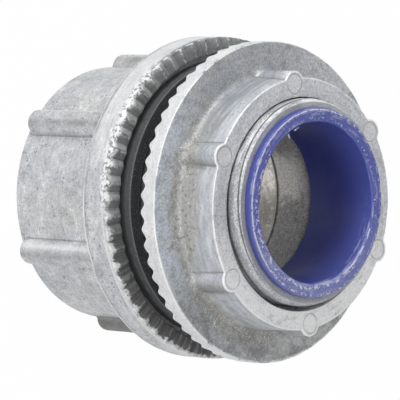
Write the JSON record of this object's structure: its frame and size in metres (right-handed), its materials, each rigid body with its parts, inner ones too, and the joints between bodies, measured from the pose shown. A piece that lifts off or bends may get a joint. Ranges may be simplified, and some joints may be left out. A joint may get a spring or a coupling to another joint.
{
  "type": "conduit hub",
  "caption": "Threaded zinc conduit hub with toothed flange, sealing ring, lugged lock nut and insulated throat, for bringing conduit through a box wall.",
  "frame": {"origin": "the centre of the socket's end face, which is the bottom of the whole part", "axes": "+Z runs along the way through, from the socket to the nipple and its lock nut; +X and +Y lie in the socket's end face"},
  "size_m": [0.052, 0.052, 0.0485],
  "materials": {
    "cast_zinc": null,
    "black_rubber": "matte black neoprene",
    "blue_plastic": "glossy blue nylon with scuffs on its rim"
  },
  "bodies": {
    "hub": {"hub_body": "cast_zinc", "sealing_ring": "black_rubber", "throat_liner": "blue_plastic"},
    "nut": {"lock_nut": "cast_zinc"}
  },
  "joints": [
    {"name": "nut_travel", "type": "slide", "parent": "hub", "child": "nut", "axis": [0, 0, 1], "range_m": [-0.0055, 0.0095]}
  ]
}
